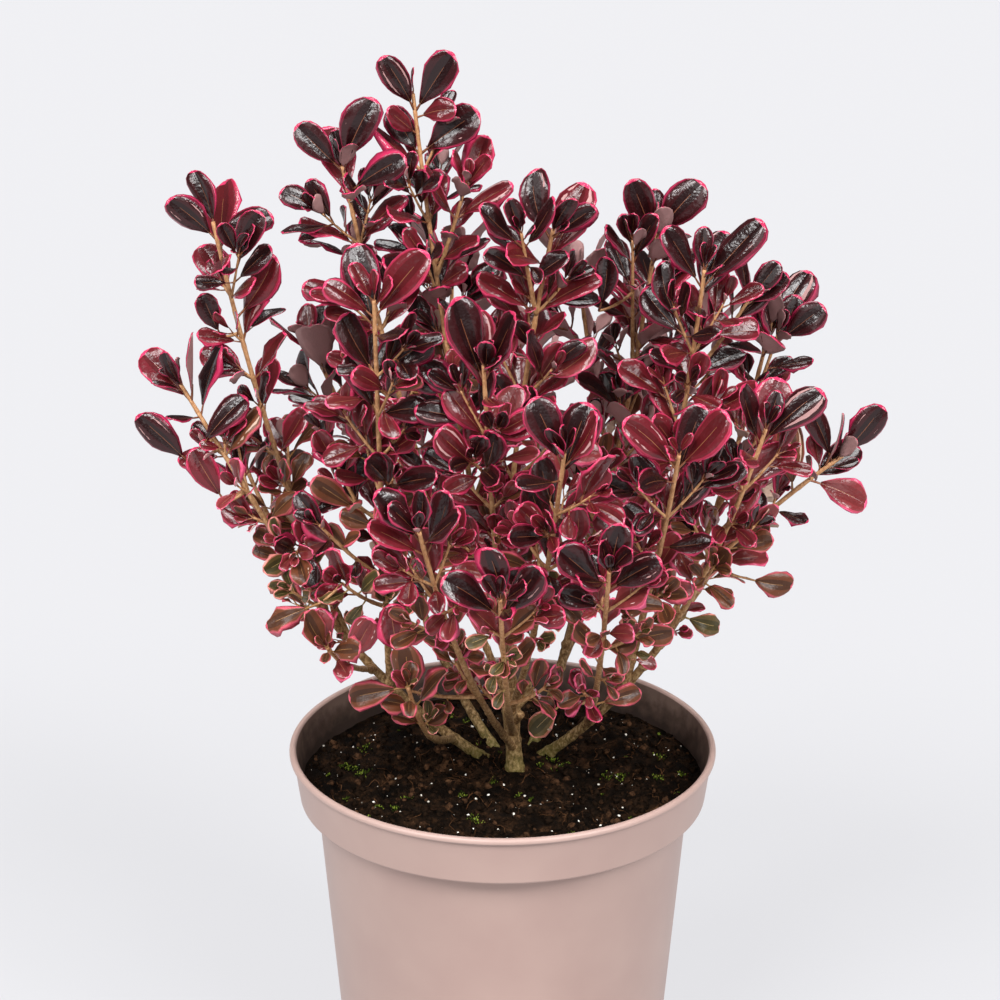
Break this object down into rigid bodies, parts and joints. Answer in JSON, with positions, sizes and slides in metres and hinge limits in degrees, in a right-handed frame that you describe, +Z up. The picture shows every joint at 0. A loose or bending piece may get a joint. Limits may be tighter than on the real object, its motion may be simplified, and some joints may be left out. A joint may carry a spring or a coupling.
{
  "type": "potted mirror bush",
  "caption": "Young mirror bush with glossy dark maroon, pink-edged leaves on upright and arching shoots, growing from soil in a round tapered nursery pot with a deep collar.",
  "frame": {"origin": "centre of the pot's flat underside, on the surface it stands on", "axes": "+Z up through the middle of the pot, -Y towards the viewer of the picture, +X to that viewer's right"},
  "size_m": [0.2894, 0.2558, 0.4252],
  "materials": {
    "pot": "moulded polypropylene, taupe pink, satin",
    "soil": "moist dark peat with perlite specks and a little moss",
    "bark": "tan young bark, grey-brown and rough at the foot",
    "foliage": "glossy dark maroon leaves with pink margins and mauve undersides"
  },
  "bodies": {
    "root": {"pot": "pot", "soil": "soil", "trunk": "bark", "stem_left": "bark", "stem_right": "bark", "stem_back_left": "bark", "stem_back_right": "bark", "stem_left_low": "bark", "bough_left_high": "bark", "bough_left_front": "bark", "bough_left_low": "bark", "bough_left_peak": "bark", "bough_top_peak": "bark", "bough_centre_front": "bark", "bough_front_high": "bark", "bough_front_low": "bark", "bough_front_left": "bark", "bough_right_rear": "bark", "bough_right_peak": "bark", "bough_right_high": "bark", "bough_right_mid": "bark", "bough_front_right": "bark", "bough_front_low_right": "bark", "bough_rear_high_left": "bark", "bough_rear_low_left": "bark", "bough_side_left": "bark", "bough_rear_centre": "bark", "bough_rear_right": "bark", "bough_rear_low_right": "bark", "bough_side_right": "bark", "foliage_left_reach": "foliage", "foliage_left_high": "foliage", "foliage_left_front": "foliage", "foliage_left_low": "foliage", "foliage_left_peak": "foliage", "foliage_top_peak": "foliage", "foliage_centre": "foliage", "foliage_centre_front": "foliage", "foliage_front_high": "foliage", "foliage_front_low": "foliage", "foliage_front_left": "foliage", "foliage_foot_left": "foliage", "foliage_right_rear": "foliage", "foliage_right_peak": "foliage", "foliage_right_high": "foliage", "foliage_right_mid": "foliage", "foliage_right_reach": "foliage", "foliage_front_right": "foliage", "foliage_front_low_right": "foliage", "foliage_rear_high_left": "foliage", "foliage_rear_left": "foliage", "foliage_rear_low_left": "foliage", "foliage_side_left": "foliage", "foliage_rear_high_right": "foliage", "foliage_rear_centre": "foliage", "foliage_rear_right": "foliage", "foliage_rear_low_right": "foliage", "foliage_side_right": "foliage"}
  },
  "joints": []
}
